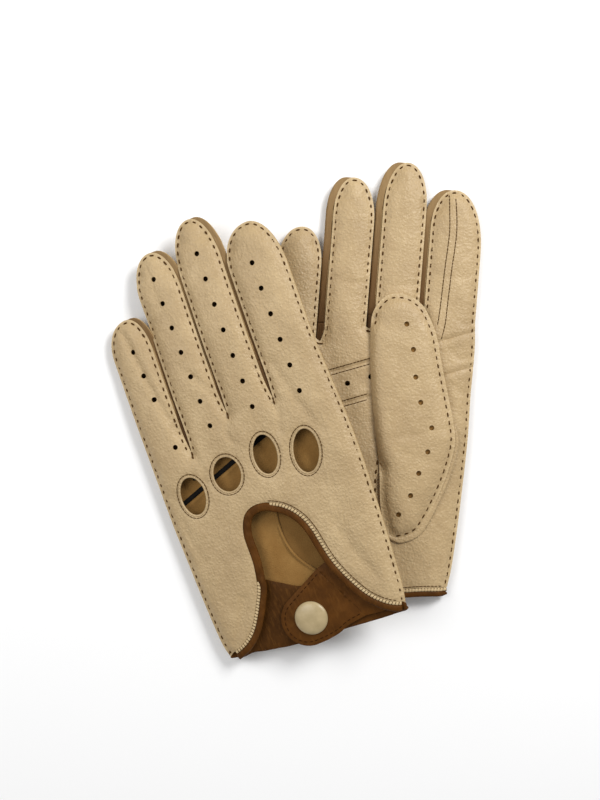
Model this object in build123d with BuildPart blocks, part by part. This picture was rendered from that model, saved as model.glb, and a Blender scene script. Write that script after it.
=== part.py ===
from build123d import *
import math
import os

# Driving sizes, in millimetres.  Each glove is drawn flat in its own frame:
# x towards the thumb, y towards the fingertips, z from the palm (0) to the back (thick).
leather = 0.9
thick = 7.5
round_edge = 2.2
seam_low = 1.6
seam_high = 5.9
side_low = 2.4
side_high = 5.1
hinge_gap = 0.8
hem_width = 4.6
reach = 150

# Where each glove lies, and how far the upper one leans on the lower one.
left_origin = (-10.43, -59.38)
left_turn = 20
left_lean = 13.5
left_edge_x = -50.7
left_edge_height = 1.5
right_origin = (33.37, -31.48)
right_turn = -4.5

# Fingers: left edge, right edge, base line, tip x, tip y, left and right shoulder lengths.
fingers = {
    "little": (-51.0, -29.0, 75.0, -39.0, 127.2, 20, 20),
    "ring": (-26.4, -2.8, 80.0, -14.2, 155.8, 22, 22),
    "middle": (-0.2, 23.8, 97.0, 12.2, 165.4, 24, 24),
    "index": (26.2, 55.0, 97.0, 40.4, 152.4, 22, 30),
}
root_start = 45
fork_height = {"little": 48.7, "ring": 62.0, "middle": 61.2}
left_droop = {"little": 2.0, "ring": 3.5, "middle": 5.0, "index": 4.0}
seam_end = 9
hole_radius = 1.4
hole_rows = {
    "little": (-34.6, -39.4, 54.3, 109.8, 5),
    "ring": (-12.3, -15.2, 58.8, 142.1, 7),
    "middle": (13.2, 11.9, 60.6, 146.2, 7),
    "index": (39.8, 39.0, 60.0, 130.6, 6),
}

# Knuckle openings: centre x, centre y, half width, half height, lean.
knuckles = [
    (-34.6, 26.6, 7.2, 10.6, -3),
    (-12.6, 31.6, 8.0, 9.6, -7),
    (10.9, 34.9, 6.9, 10.9, -7),
    (32.2, 29.7, 7.2, 11.9, -14),
]

# Outlines of the hand, the open back and the hem.
little_side = [(-46.3, -60.4), (-48.7, -33.0), (-50.6, 5.0), (-51.0, 45.0)]
thumb_side = [(52.8, -61.0), (54.4, -8.5), (55.0, 45.0)]
open_back = [
    (-45.9, -59.6), (-36.6, -56.4), (-28.3, -48.8), (-21.8, -37.6), (-17.2, -25.0),
    (-16.0, -10.0), (-13.6, 4.6), (-4.7, 11.5), (9.2, 8.2), (19.4, -2.6),
    (23.9, -17.6), (28.8, -34.4), (37.0, -49.2), (45.0, -57.2), (49.6, -60.6),
]
palm_hem = [(-46.3, -60.4), (-24.0, -63.6), (0.0, -65.2), (28.0, -64.0), (52.8, -61.0)]

# Palm band with its row of holes, running across below the finger forks.
band_slope = 20.3
band_centre_y = 46.5
band_half = 9.0
band_hole_row = (-8.6, 44.2)
band_hole_pitch = 13

# Thumb.
pivot = (31.0, 12.0)
disc_radius = 20.4
socket_radius = 20.9
thumb_thick = 5.5
thumb_gap = 0.4
thumb_opening = 13.0
thumb_tip = (16.0, 94.0)
thumb_left = [(1.6, 74.0), (3.6, 48.0), (7.2, 24.0)]
thumb_right = [(30.0, 84.0), (39.6, 62.0), (46.0, 40.0)]
thumb_holes = [(20.1, 77.9), (24.6, 64.7), (27.0, 50.2), (30.7, 37.0)]
pad_holes = [(32.6, -14.0), (25.5, -25.5)]
pad_edge = [
    (10.4, 6.0), (11.9, -4.0), (13.9, -18.8), (17.5, -30.8), (25.4, -37.1),
    (32.1, -34.4), (37.0, -29.2), (43.3, -14.9), (47.6, 0.0),
]

# Strap, under-flap and press stud.
snap_centre = (3.3, -54.4)
cap_radius = 8.9
flap_bottom = 1.6
flap_top = 2.6
strap_bottom = 3.2
strap_top = 4.4
cap_height = 2.5
root_top = (15.0, -30.8)
root_bottom = (31.5, -61.8)
root_gap = 0.4
strap_tip_centre = (0.5, -54.8)
strap_tip_radius = 14.1
strap_shoulder = 120
socket_inner = 2.6
socket_outer = 4.6
stud_radius = 2.0

made = []


def keep(name, shape):
    """Store one finished subcomponent for export."""
    shape.label = name
    made.append((name, shape))


def tube_outline(x0, x1, y0, tip_x, tip_y, left_long, right_long, inset):
    """Draw a finger outline with straight sides and a rounded tip."""
    low = (x0 + inset, y0)
    high = (x1 - inset, y0)
    left_start = (x0 + inset, tip_y - left_long)
    right_start = (x1 - inset, tip_y - right_long)
    top = (tip_x, tip_y - inset)
    lean_left = 0.55 * (tip_x - x0 - inset)
    lean_right = 0.55 * (x1 - inset - tip_x)
    with BuildSketch() as outline:
        with BuildLine():
            Line(low, left_start)
            Bezier(
                left_start,
                (left_start[0], left_start[1] + 0.62 * left_long),
                (tip_x - lean_left, top[1]),
                top,
            )
            Bezier(
                top,
                (tip_x + lean_right, top[1]),
                (right_start[0], right_start[1] + 0.62 * right_long),
                right_start,
            )
            Line(right_start, high)
            Line(high, low)
        make_face()
    return outline.sketch


def row_points(name):
    """Centres of one finger's row of breathing holes."""
    x0, x1, y0, y1, count = hole_rows[name]
    steps = [i / (count - 1) for i in range(count)]
    return [(x0 + (x1 - x0) * s, y0 + (y1 - y0) * s) for s in steps]


def finger_tube(name):
    """Hollow finger, open at its base, with a row of holes in its back."""
    x0, x1, base, tip_x, tip_y, left_long, right_long = fingers[name]
    start = base + hinge_gap
    with BuildPart() as tube:
        with BuildSketch():
            add(tube_outline(x0, x1, start, tip_x, tip_y, left_long, right_long, 0))
        extrude(amount=thick)
        rims = tube.faces().filter_by(Axis.Z).edges()
        fillet([e for e in rims if e.center().Y > start + 1], round_edge)
        with BuildSketch(Plane.XY.offset(leather)):
            start -= 1
            add(tube_outline(x0, x1, start, tip_x, tip_y, left_long, right_long, leather))
        extrude(amount=thick - 2 * leather, mode=Mode.SUBTRACT)
        with BuildSketch(Plane.XY.offset(thick - 2 * leather)):
            with Locations(*[p for p in row_points(name) if p[1] > base]):
                Circle(hole_radius)
        extrude(amount=3 * leather, mode=Mode.SUBTRACT)
    return tube.part


def slab(x0, x1, y0, y1, z0, z1):
    """A plain block used to cut a tube into its leather pieces."""
    with BuildPart() as block:
        with Locations(((x0 + x1) / 2, (y0 + y1) / 2, (z0 + z1) / 2)):
            Box(x1 - x0, y1 - y0, z1 - z0)
    return block.part


def hand_layer(z0, z1):
    """A block wider and longer than the hand, between two heights."""
    return slab(-reach, reach, -reach, reach, z0, z1)


def finger_pieces(name):
    """Cut one finger into back, front and the side strips between them."""
    x0, x1, base, tip_x, tip_y, left_long, right_long = fingers[name]
    tube = finger_tube(name)
    middle_x = (x0 + x1) / 2
    strip_x0 = middle_x if name == "little" else x0 - 1
    strip_x1 = middle_x if name == "index" else x1 + 1
    strip = slab(strip_x0, strip_x1, base, tip_y - seam_end, side_low, side_high)
    upper = slab(x0 - 1, x1 + 1, base, tip_y + 1, thick / 2, thick + 1)
    lower = slab(x0 - 1, x1 + 1, base, tip_y + 1, -1, thick / 2)
    back = (tube & upper) - strip
    front = (tube & lower) - strip
    sides = tube & strip
    return back, front, sides


def hand_plan(inset):
    """Draw the hand with the four finger roots, inset by a wall."""
    roots = list(fingers)
    with BuildSketch() as plan:
        with BuildLine():
            straight = [(-0.1, 1), (0, 1)]
            left = Spline(*[(x + inset, y) for x, y in little_side], tangents=straight)
            right = Spline(*[(x - inset, y) for x, y in thumb_side], tangents=straight)
            Line(left @ 1, right @ 1)
            Spline(left @ 0, *palm_hem[1:-1], right @ 0)
        make_face()
        for name in roots:
            x0, x1, base = fingers[name][:3]
            top = base - hinge_gap
            with Locations(((x0 + x1) / 2, (root_start + top) / 2)):
                Rectangle(x1 - x0 - 2 * inset, top - root_start)
        for name, other in zip(roots, roots[1:]):
            x0 = fingers[name][0]
            x1 = fingers[other][1]
            top = fork_height[name] - inset
            with Locations(((x0 + x1) / 2, (root_start + top) / 2)):
                Rectangle(x1 - x0 - 2 * inset, top - root_start)
    return plan.sketch


def open_back_plan():
    """Draw the keyhole opening in the back, running out past the hem."""
    with BuildSketch() as plan:
        with BuildLine():
            edge = Spline(*open_back)
            Polyline(edge @ 1, (edge @ 1 + (0, -15)), (edge @ 0 + (0, -15)), edge @ 0)
        make_face()
    return plan.sketch


def hand_shell():
    """Hollow hand, open at the wrist and at the finger roots."""
    with BuildPart() as shell:
        with BuildSketch():
            add(hand_plan(0))
        extrude(amount=thick)
        rims = shell.faces().filter_by(Axis.Z).edges()
        outer = [e for e in rims if abs(e.center().X) > 47 and e.length > 25]
        fillet(outer, round_edge)
        with BuildSketch(Plane.XY.offset(leather)):
            add(hand_plan(leather))
        extrude(amount=thick - 2 * leather, mode=Mode.SUBTRACT)
        with BuildSketch(Plane.XY.offset(leather)):
            for name in fingers:
                x0, x1, base = fingers[name][:3]
                with Locations(((x0 + x1) / 2, base - 3)):
                    Rectangle(x1 - x0 - 2 * leather, 10)
            with Locations((3.2, -64)):
                Rectangle(94, 12)
        extrude(amount=thick - 2 * leather, mode=Mode.SUBTRACT)
    return shell.part


def hand_back(shell):
    """Back of the hand with the knuckle openings, keyhole and root holes."""
    with BuildPart() as back:
        add(shell & hand_layer(seam_high, thick + 1))
        with BuildSketch(Plane.XY.offset(seam_high - 1)):
            add(open_back_plan())
            for x, y, half_width, half_height, lean in knuckles:
                with Locations(Location((x, y), lean)):
                    Ellipse(half_width, half_height)
            for name in fingers:
                limit = fingers[name][2] - 3
                with Locations(*[p for p in row_points(name) if p[1] < limit]):
                    Circle(hole_radius)
        extrude(amount=4, mode=Mode.SUBTRACT)
    return back.part


def band_block(y_low, y_high):
    """A leaning block across the palm, used to cut it into bands."""
    with BuildPart() as block:
        with BuildSketch(Plane.XY.offset(-1)):
            with Locations(Location((0, band_centre_y), band_slope)):
                with Locations((0, (y_low + y_high) / 2)):
                    Rectangle(2 * reach, y_high - y_low)
        extrude(amount=seam_low + 1)
    return block.part


def palm_pieces(shell):
    """Palm heel, perforated band and upper palm, with the thumb opening."""
    front = shell & hand_layer(-1, seam_low)
    with BuildPart() as palm:
        add(front)
        with Locations((pivot[0], pivot[1], 0)):
            Cylinder(thumb_opening, 4 * leather, mode=Mode.SUBTRACT)
    heel = palm.part & band_block(-reach, -band_half)
    top = palm.part & band_block(band_half, reach)
    with BuildPart() as band:
        add(palm.part & band_block(-band_half, band_half))
        with BuildSketch(Plane.XY.offset(-1)):
            with Locations(Location(band_hole_row, band_slope)):
                with GridLocations(band_hole_pitch, 1, 5, 1):
                    Circle(hole_radius)
        extrude(amount=3, mode=Mode.SUBTRACT)
    return heel, band.part, top


def inward(points, distance):
    """Shift a run of points sideways, to its right-hand side."""
    shifted = []
    for i, (x, y) in enumerate(points):
        ahead = points[min(i + 1, len(points) - 1)]
        behind = points[max(i - 1, 0)]
        run = (ahead[0] - behind[0], ahead[1] - behind[1])
        size = math.hypot(*run)
        shifted.append((x + run[1] / size * distance, y - run[0] / size * distance))
    return shifted


def edge_strip(points, distance, width, low, high):
    """A strip of constant width beside a run of points."""
    with BuildPart() as strip:
        with BuildSketch(Plane.XY.offset(low)):
            with BuildLine():
                Spline(*inward(points, distance))
            trace(line_width=width)
        extrude(amount=high - low)
    return strip.part


def under_flap():
    """Flap below the strap that carries the stud."""
    with BuildPart() as flap:
        with BuildSketch(Plane.XY.offset(flap_bottom)):
            Polygon(
                (-40.5, -61.8), (-26.5, -47.5), (-17.0, -27.4), (0.8, -36.5),
                (16.0, -43.0), (16.0, -63.5), (-13.0, -65.0), (-26.0, -63.8),
                align=None,
            )
        extrude(amount=flap_top - flap_bottom)
    return flap.part


def snap_stud():
    """Stud standing on the under-flap, inside the socket."""
    with BuildPart() as stud:
        with Locations((snap_centre[0], snap_centre[1], flap_top + 0.25)):
            Cylinder(stud_radius, 0.5)
    return stud.part


def strap_part():
    """Strap from the keyhole edge to its rounded tip, with a socket hole."""
    cx, cy = strap_tip_centre
    r = strap_tip_radius
    lean = math.radians(strap_shoulder)
    shoulder = (cx + r * math.cos(lean), cy + r * math.sin(lean))
    with BuildPart() as strap:
        with BuildSketch(Plane.XY.offset(strap_bottom)):
            with BuildLine():
                upper = Line(root_top, shoulder)
                tip = ThreePointArc(upper @ 1, (cx - r, cy), (cx, cy - r))
                Spline(tip @ 1, (14.5, -66.6), root_bottom)
                Line(root_bottom, root_top)
            make_face()
            with Locations(snap_centre):
                Circle(socket_inner, mode=Mode.SUBTRACT)
        extrude(amount=strap_top - strap_bottom)
    return strap.part


def strap_base():
    """Sewn end of the strap, held below the edge of the open back."""
    with BuildPart() as base:
        with BuildSketch(Plane.XY.offset(strap_bottom)):
            Polygon(
                (root_top[0] + root_gap, root_top[1]),
                (root_bottom[0] + root_gap, root_bottom[1]),
                (40.5, -61.2), (32.6, -46.0), (24.2, -27.6),
                align=None,
            )
        extrude(amount=strap_top - strap_bottom)
    return base.part


def snap_cap():
    """Domed cap on top of the strap."""
    with BuildPart() as cap:
        with Locations((snap_centre[0], snap_centre[1], strap_top + cap_height / 2)):
            Cylinder(cap_radius, cap_height)
        fillet(cap.faces().sort_by(Axis.Z)[-1].edges(), cap_height - 0.5)
    return cap.part


def snap_socket():
    """Socket ring below the strap, round the stud."""
    with BuildPart() as ring:
        with BuildSketch(Plane.XY.offset(flap_top + 0.1)):
            with Locations(snap_centre):
                Circle(socket_outer)
                Circle(socket_inner, mode=Mode.SUBTRACT)
        extrude(amount=strap_bottom - flap_top - 0.1)
    return ring.part


def thumb_plan(inset):
    """Draw the thumb stall, ending in the disc it turns on."""
    tip = (thumb_tip[0], thumb_tip[1] - inset)
    left = [(x + inset, y) for x, y in thumb_left]
    right = [(x - inset, y) for x, y in thumb_right]
    low_left = (pivot[0] - disc_radius + inset, pivot[1])
    low_right = (pivot[0] + disc_radius - inset, pivot[1])
    with BuildSketch() as plan:
        with BuildLine():
            Spline(low_left, *reversed(left), tip, tangents=[(-0.1, 1), (1, 0)])
            Spline(tip, *right, low_right, tangents=[(1, 0), (0.1, -1)])
            Line(low_right, low_left)
        make_face()
        with Locations(pivot):
            Circle(disc_radius - inset)
    return plan.sketch


def thumb_stall():
    """Hollow thumb lying on the palm, open towards the hand at its disc."""
    bottom = -thumb_gap - thumb_thick
    with BuildPart() as stall:
        with BuildSketch(Plane.XY.offset(bottom)):
            add(thumb_plan(0))
        extrude(amount=thumb_thick)
        with BuildSketch(Plane.XY.offset(bottom + leather)):
            add(thumb_plan(leather))
        extrude(amount=thumb_thick - 2 * leather, mode=Mode.SUBTRACT)
        with BuildSketch(Plane.XY.offset(bottom + 2 * leather)):
            with Locations(pivot):
                Circle(thumb_opening)
        extrude(amount=thumb_thick, mode=Mode.SUBTRACT)
        with BuildSketch(Plane.XY.offset(bottom - 1)):
            with Locations(*thumb_holes):
                Circle(hole_radius)
        extrude(amount=2 + leather, mode=Mode.SUBTRACT)
    middle = bottom + thumb_thick / 2
    front = stall.part & hand_layer(bottom - 1, middle)
    back = stall.part & hand_layer(middle, 1)
    return front, back


def thumb_pad():
    """Ball of the thumb, fixed to the palm below the disc."""
    bottom = -thumb_gap - thumb_thick
    with BuildPart() as pad:
        with BuildSketch(Plane.XY.offset(bottom)):
            with BuildLine():
                edge = Spline(*pad_edge)
                Line(edge @ 1, pivot)
                Line(pivot, edge @ 0)
            make_face()
            with Locations(pivot):
                Circle(socket_radius, mode=Mode.SUBTRACT)
        extrude(amount=thumb_thick + thumb_gap)
        with BuildSketch(Plane.XY.offset(bottom + leather)):
            with Locations(*pad_holes):
                Circle(hole_radius)
        extrude(amount=-2 * leather, mode=Mode.SUBTRACT)
    return pad.part


def palm_tape():
    """Tape stiffening the palm seam inside the hand."""
    with BuildPart() as tape:
        with BuildSketch(Plane.XY.offset(leather)):
            with Locations(Location((-3, 38.6), band_slope)):
                Rectangle(88, 2.4)
        extrude(amount=0.5)
    return tape.part


def wrist_elastic():
    """Elastic band across the inside of the wrist."""
    return slab(-45, 48, -57, -51, leather, leather + 0.5)


def place_left(shape, droop=0, base=0):
    """Lean the left glove on the right one, its fingers drooping a little."""
    hinge = Location((0, base, thick))
    bent = shape.moved(hinge * Location((0, 0, 0), (-droop, 0, 0)) * hinge.inverse())
    lean = Location((left_edge_x, 0, 0), (0, -left_lean, 0))
    at = Location((left_origin[0], left_origin[1], left_edge_height), (0, 0, left_turn))
    return bent.moved(at * lean * Location((-left_edge_x, 0, 0)))


def place_right(shape):
    """Turn a shape palm up and lay it flat as the right glove."""
    flipped = mirror(shape, about=Plane.XY.offset(thick / 2))
    at = Location((right_origin[0], right_origin[1], 0), (0, 0, right_turn))
    return flipped.moved(at)


def keep_both(name, shape, droop=0, base=0):
    """Store the piece once in each glove."""
    keep("left_" + name, place_left(shape, droop, base))
    keep("right_" + name, place_right(shape))


# Hand of each glove.
shell = hand_shell()
keep_both("hand_back", hand_back(shell))
heel, band, upper_palm = palm_pieces(shell)
keep_both("palm_heel", heel)
keep_both("palm_band", band)
keep_both("palm_top", upper_palm)
keep_both("hand_seam", shell & hand_layer(seam_low, seam_high))
keep_both("palm_tape", palm_tape())
keep_both("wrist_elastic", wrist_elastic())

# Brown edges of the open back and of the palm hem.
edge_middle = hem_width / 2
back_edge = edge_strip(open_back[1:-1], edge_middle, hem_width, seam_high - 1.2, seam_high)
keep_both("back_binding", back_edge)
hem = edge_strip(palm_hem[1:-1], 1.5, 3.0, 0, leather)
keep_both("palm_binding", hem - shell)

# Fingers.
for finger in fingers:
    back, front, sides = finger_pieces(finger)
    base = fingers[finger][2]
    keep_both(finger + "_back", back, left_droop[finger], base)
    keep_both(finger + "_front", front, left_droop[finger], base)
    keep_both(finger + "_sides", sides, left_droop[finger], base)

# Thumb.
thumb_front, thumb_back = thumb_stall()
keep_both("thumb_front", thumb_front)
keep_both("thumb_back", thumb_back)
keep_both("thumb_pad", thumb_pad())

# Wrist closure.
keep_both("under_flap", under_flap())
keep_both("snap_stud", snap_stud())
keep_both("strap", strap_part())
keep_both("strap_base", strap_base())
keep_both("snap_cap", snap_cap())
keep_both("snap_socket", snap_socket())

os.makedirs("parts", exist_ok=True)
for name, shape in made:
    export_step(shape, "parts/" + name + ".step")
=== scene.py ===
"""A pair of leather driving gloves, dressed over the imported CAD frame."""

import math
import random

import bpy
import numpy as np
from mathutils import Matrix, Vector, noise
from mathutils.geometry import delaunay_2d_cdt


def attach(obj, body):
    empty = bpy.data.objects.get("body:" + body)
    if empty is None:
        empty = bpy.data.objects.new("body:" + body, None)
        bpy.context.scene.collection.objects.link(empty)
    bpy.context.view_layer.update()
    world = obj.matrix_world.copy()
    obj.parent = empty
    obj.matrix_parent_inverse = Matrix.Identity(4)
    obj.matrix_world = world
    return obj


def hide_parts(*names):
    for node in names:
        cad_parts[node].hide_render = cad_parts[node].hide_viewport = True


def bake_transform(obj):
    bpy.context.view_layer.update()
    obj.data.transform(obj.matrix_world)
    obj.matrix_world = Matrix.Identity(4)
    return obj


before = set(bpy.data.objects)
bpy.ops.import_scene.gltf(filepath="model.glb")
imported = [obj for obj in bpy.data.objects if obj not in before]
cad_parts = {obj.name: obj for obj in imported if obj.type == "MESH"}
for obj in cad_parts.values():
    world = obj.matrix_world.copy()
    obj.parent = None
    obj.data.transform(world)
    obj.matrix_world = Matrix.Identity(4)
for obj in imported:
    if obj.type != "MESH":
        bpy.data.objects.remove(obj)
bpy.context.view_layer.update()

random.seed(7)
MM = 0.001

# ---------------------------------------------------------------- glove plan
# Each glove is drawn flat in millimetres: x to the thumb, y to the fingertips,
# z from the palm (0) to the back (THICK), then laid where the CAD glove lies.
THICK = 7.5
LEATHER = 0.9
MID = THICK / 2
LEFT = {"at": (-10.43, -59.38), "turn": 20.0, "lean": 13.5, "edge_x": -50.7, "lift": 1.5}
RIGHT = {"at": (33.37, -31.48), "turn": -4.5}
DROOP = {"little": 2.0, "ring": 3.5, "middle": 5.0, "index": 4.0}
BASE = {"little": 75.0, "ring": 80.0, "middle": 97.0, "index": 97.0}
DROOP_EASE = 4.0
NAMES = ("little", "ring", "middle", "index")
LABEL = {"back": "back", "palm": "front"}

# Finger bands of the left and of the right glove:
# left edge, right edge, tip x, tip y, left shoulder, right shoulder.
LEFT_BANDS = {
    "little": (-52.0, -28.9, -38.4, 127.6, 19, 21),
    "ring": (-27.0, -2.8, -14.2, 156.6, 22, 24),
    "middle": (-1.2, 23.3, 12.0, 165.6, 26, 26),
    "index": (25.4, 56.0, 42.0, 152.4, 21, 30),
}
RIGHT_BANDS = {
    "little": (-51.0, -27.6, -38.8, 126.6, 19, 20),
    "ring": (-23.2, -1.0, -13.4, 155.2, 20, 24),
    "middle": (3.4, 26.6, 14.8, 165.4, 26, 24),
    "index": (29.6, 57.6, 41.5, 152.6, 22, 34),
}
# How far down the plan each fork between two fingers is cut, and how tall its notch is.
FORK_Y = {"back": (48.7, 62.2, 61.4), "palm": (65.9, 74.5, 76.5)}
FORK_RISE = {"back": 11.0, "palm": 6.0}
# Where the finger leather starts, and where it starts to bend away from the hand.
JOIN = {"little": 67.5, "ring": 75.5, "middle": 82.0, "index": 82.0}
# How far below each fingertip its seam still closes in like an outer side.
TIP_REACH = 9.0
# The face lying underneath is rolled to one side, so one fourchette shows beside each finger.
FACE_SHIFT = {("left", "palm"): 3.0, ("right", "back"): -4.0}
ROW_SHIFT = -2.0

LITTLE_SIDE = [(-46.8, -61.5), (-48.8, -53.0), (-50.2, -33.0), (-51.2, -7.0), (-52.0, 15.6)]
THUMB_SIDE = [(53.6, -61.0), (55.2, -50.0), (56.6, -30.0), (57.6, -8.5), (58.5, 19.5), (58.2, 42.0)]
KEYHOLE = [
    (-45.4, -60.2), (-41.0, -58.4), (-36.6, -56.4), (-32.1, -53.1), (-28.3, -48.8), (-24.8, -43.2),
    (-21.8, -37.6), (-18.9, -31.6), (-17.2, -25.0), (-16.0, -17.0), (-15.8, -10.0), (-15.6, -2.0),
    (-13.6, 4.6), (-10.2, 9.2), (-4.7, 11.5), (2.0, 11.0), (9.2, 8.2), (14.9, 3.6), (19.4, -2.6),
    (22.3, -10.4), (24.0, -18.6), (26.1, -27.4), (29.2, -35.2), (33.0, -42.8), (37.6, -50.0),
    (43.0, -55.4), (48.4, -59.0), (53.0, -60.7),
]
HEM_X = (-46.8, -34.0, -20.0, 0.0, 26.0, 40.0, 53.6)
HEM_Y = {
    "left": (-58.4, -59.0, -60.2, -61.0, -61.4, -61.6, -61.0),
    "right": (-61.5, -62.6, -64.4, -65.4, -63.8, -62.0, -61.0),
}
# Centre x, centre y, half width, half height and lean of each knuckle opening.
KNUCKLES = [
    (-34.6, 26.6, 7.5, 10.9, -3),
    (-12.6, 31.6, 8.3, 9.9, -7),
    (10.9, 34.9, 7.1, 11.1, -7),
    (32.2, 29.7, 7.5, 12.1, -14),
]
# First x, last x, first y, last y and count of the small holes up each finger.
HOLE_ROWS = {
    "little": (-34.6, -39.4, 54.3, 109.8, 5),
    "ring": (-12.3, -15.2, 58.8, 142.1, 7),
    "middle": (13.2, 11.9, 60.6, 146.2, 7),
    "index": (39.8, 39.0, 60.0, 130.6, 6),
}
HOLE_R = 1.4


# ---------------------------------------------------------------- plane curves
def bezier(p0, p1, p2, p3, count):
    """Points along one cubic curve, without its last point."""
    t = np.linspace(0, 1, count, endpoint=False)[:, None]
    p0, p1, p2, p3 = (np.array(p, float) for p in (p0, p1, p2, p3))
    return (1 - t) ** 3 * p0 + 3 * (1 - t) ** 2 * t * p1 + 3 * (1 - t) * t ** 2 * p2 + t ** 3 * p3


def distance(path):
    """Distance of each point along a line."""
    return np.concatenate([[0], np.cumsum(np.linalg.norm(np.diff(path, axis=0), axis=1))])


def at_distance(path, places):
    """The points of a line at the given distances."""
    length = distance(path)
    return np.stack([np.interp(places, length, column) for column in path.T], axis=1)


def headings(path, places):
    """Directions of a line at the given distances."""
    length = distance(path)
    dx, dy = (np.interp(places, length, column) for column in np.gradient(path, axis=0).T)
    return np.arctan2(dy, dx)


def resample(points, step):
    """The same open line with evenly spaced points, ends kept."""
    p = np.array(points, float)
    total = distance(p)[-1]
    count = max(2, int(round(total / step)) + 1)
    return at_distance(p, np.linspace(0, total, count))


def spread(line, count):
    """The same line with a fixed number of points."""
    at = np.linspace(0, len(line) - 1, count)
    return np.stack([np.interp(at, range(len(line)), column) for column in line.T], axis=1)


def smooth(points, step=1.2):
    """A smooth open curve through the points, sampled evenly."""
    p = np.array(points, float)
    q = np.vstack([2 * p[0] - p[1], p, 2 * p[-1] - p[-2]])
    t = np.linspace(0, 1, 24, endpoint=False)[:, None]
    rows = []
    for a, b, c, d in zip(q, q[1:], q[2:], q[3:]):
        square, cube = 2 * a - 5 * b + 4 * c - d, 3 * b - a - 3 * c + d
        rows.append(0.5 * (2 * b + (c - a) * t + square * t ** 2 + cube * t ** 3))
    return resample(np.vstack(rows + [p[-1:]]), step)


def normals(path):
    """Unit left-hand normals of a 2-D line."""
    d = np.gradient(path, axis=0)
    n = np.stack([-d[:, 1], d[:, 0]], axis=1)
    return n / np.maximum(np.linalg.norm(n, axis=1, keepdims=True), 1e-9)


def tip_line(band, start):
    """Finger outline from its left edge at the start line, over the tip, to the right edge."""
    x0, x1, tip_x, tip_y, left, right = band
    line = [np.array([[x0, start]])]
    for x, shoulder, turn in ((x0, left, 1), (x1, right, -1)):
        side = (x, tip_y - shoulder)
        curve = [side, (x, tip_y - 0.38 * shoulder), (tip_x + 0.55 * (x - tip_x), tip_y), (tip_x, tip_y)]
        line.append(bezier(*curve[::turn], 24))
    line.append(np.array([[x1, tip_y - right], [x1, start]]))
    return resample(np.vstack(line), 1.2)


def ellipse(x, y, a, b, lean=0, count=40):
    t = np.linspace(0, 2 * math.pi, count, endpoint=False)
    c, s = math.cos(math.radians(lean)), math.sin(math.radians(lean))
    px, py = a * np.cos(t), b * np.sin(t)
    return np.stack([x + px * c - py * s, y + px * s + py * c], axis=1)


def small_hole(x, y):
    return ellipse(x, y, HOLE_R, HOLE_R, count=14)


def row_points(name, side):
    """Centres of the small holes up one finger."""
    x0, x1, y0, y1, count = HOLE_ROWS[name]
    shift = 0.0 if side == "left" else ROW_SHIFT
    return [(x0 + (x1 - x0) * v + shift, y0 + (y1 - y0) * v) for v in np.linspace(0, 1, count)]


# ---------------------------------------------------------------- laying flat points in the world
def lay(side, pts, finger=None):
    """Flat glove points (mm) to the row frame (m)."""
    x, y, z = np.array(pts, float).T
    if side == "left":
        if finger:
            run = np.maximum(y - BASE[finger] + DROOP_EASE, 0)
            run = np.where(run < 2 * DROOP_EASE, run ** 2 / (4 * DROOP_EASE), run - DROOP_EASE)
            z = z - run * math.tan(math.radians(DROOP[finger]))
        a = math.radians(LEFT["lean"])
        u = x - LEFT["edge_x"]
        x, z = u * math.cos(a) - z * math.sin(a), u * math.sin(a) + z * math.cos(a)
        x = x + LEFT["edge_x"]
        z = z + LEFT["lift"]
        place = LEFT
    else:
        z = THICK - z
        place = RIGHT
    a = math.radians(place["turn"])
    wx = x * math.cos(a) - y * math.sin(a) + place["at"][0]
    wy = x * math.sin(a) + y * math.cos(a) + place["at"][1]
    return np.stack([wx, wy, z], axis=1) * MM


ROOT_TOP, ROOT_BOTTOM = (15.0, -30.8), (31.5, -61.8)


def rig(obj, side, part, nodes):
    """Attach a hand or strap piece to its body, bake any other piece in place, and hide the CAD nodes it
    stands for.
    """
    if part in ("hand", "strap"):
        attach(obj, side + "_" + part)
    else:
        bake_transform(obj)
    if nodes:
        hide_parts(*[side + "_" + node for node in nodes])


# ---------------------------------------------------------------- edges and height of the soft panels
def fork_line(edge_x, join_y, fork, rise):
    """One side of the notch between two fingers, from the finger's edge down to the fork."""
    rise = min(rise, join_y - fork[1] - 0.3)
    knee = (edge_x + 0.55 * (fork[0] - edge_x), fork[1] + 0.28 * rise)
    line = [(edge_x, fork[1] + rise), knee, fork]
    if join_y - fork[1] - rise > 1:
        line = [(edge_x, join_y)] + line
    else:
        line[0] = (edge_x, join_y)
    return smooth(line)


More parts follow.
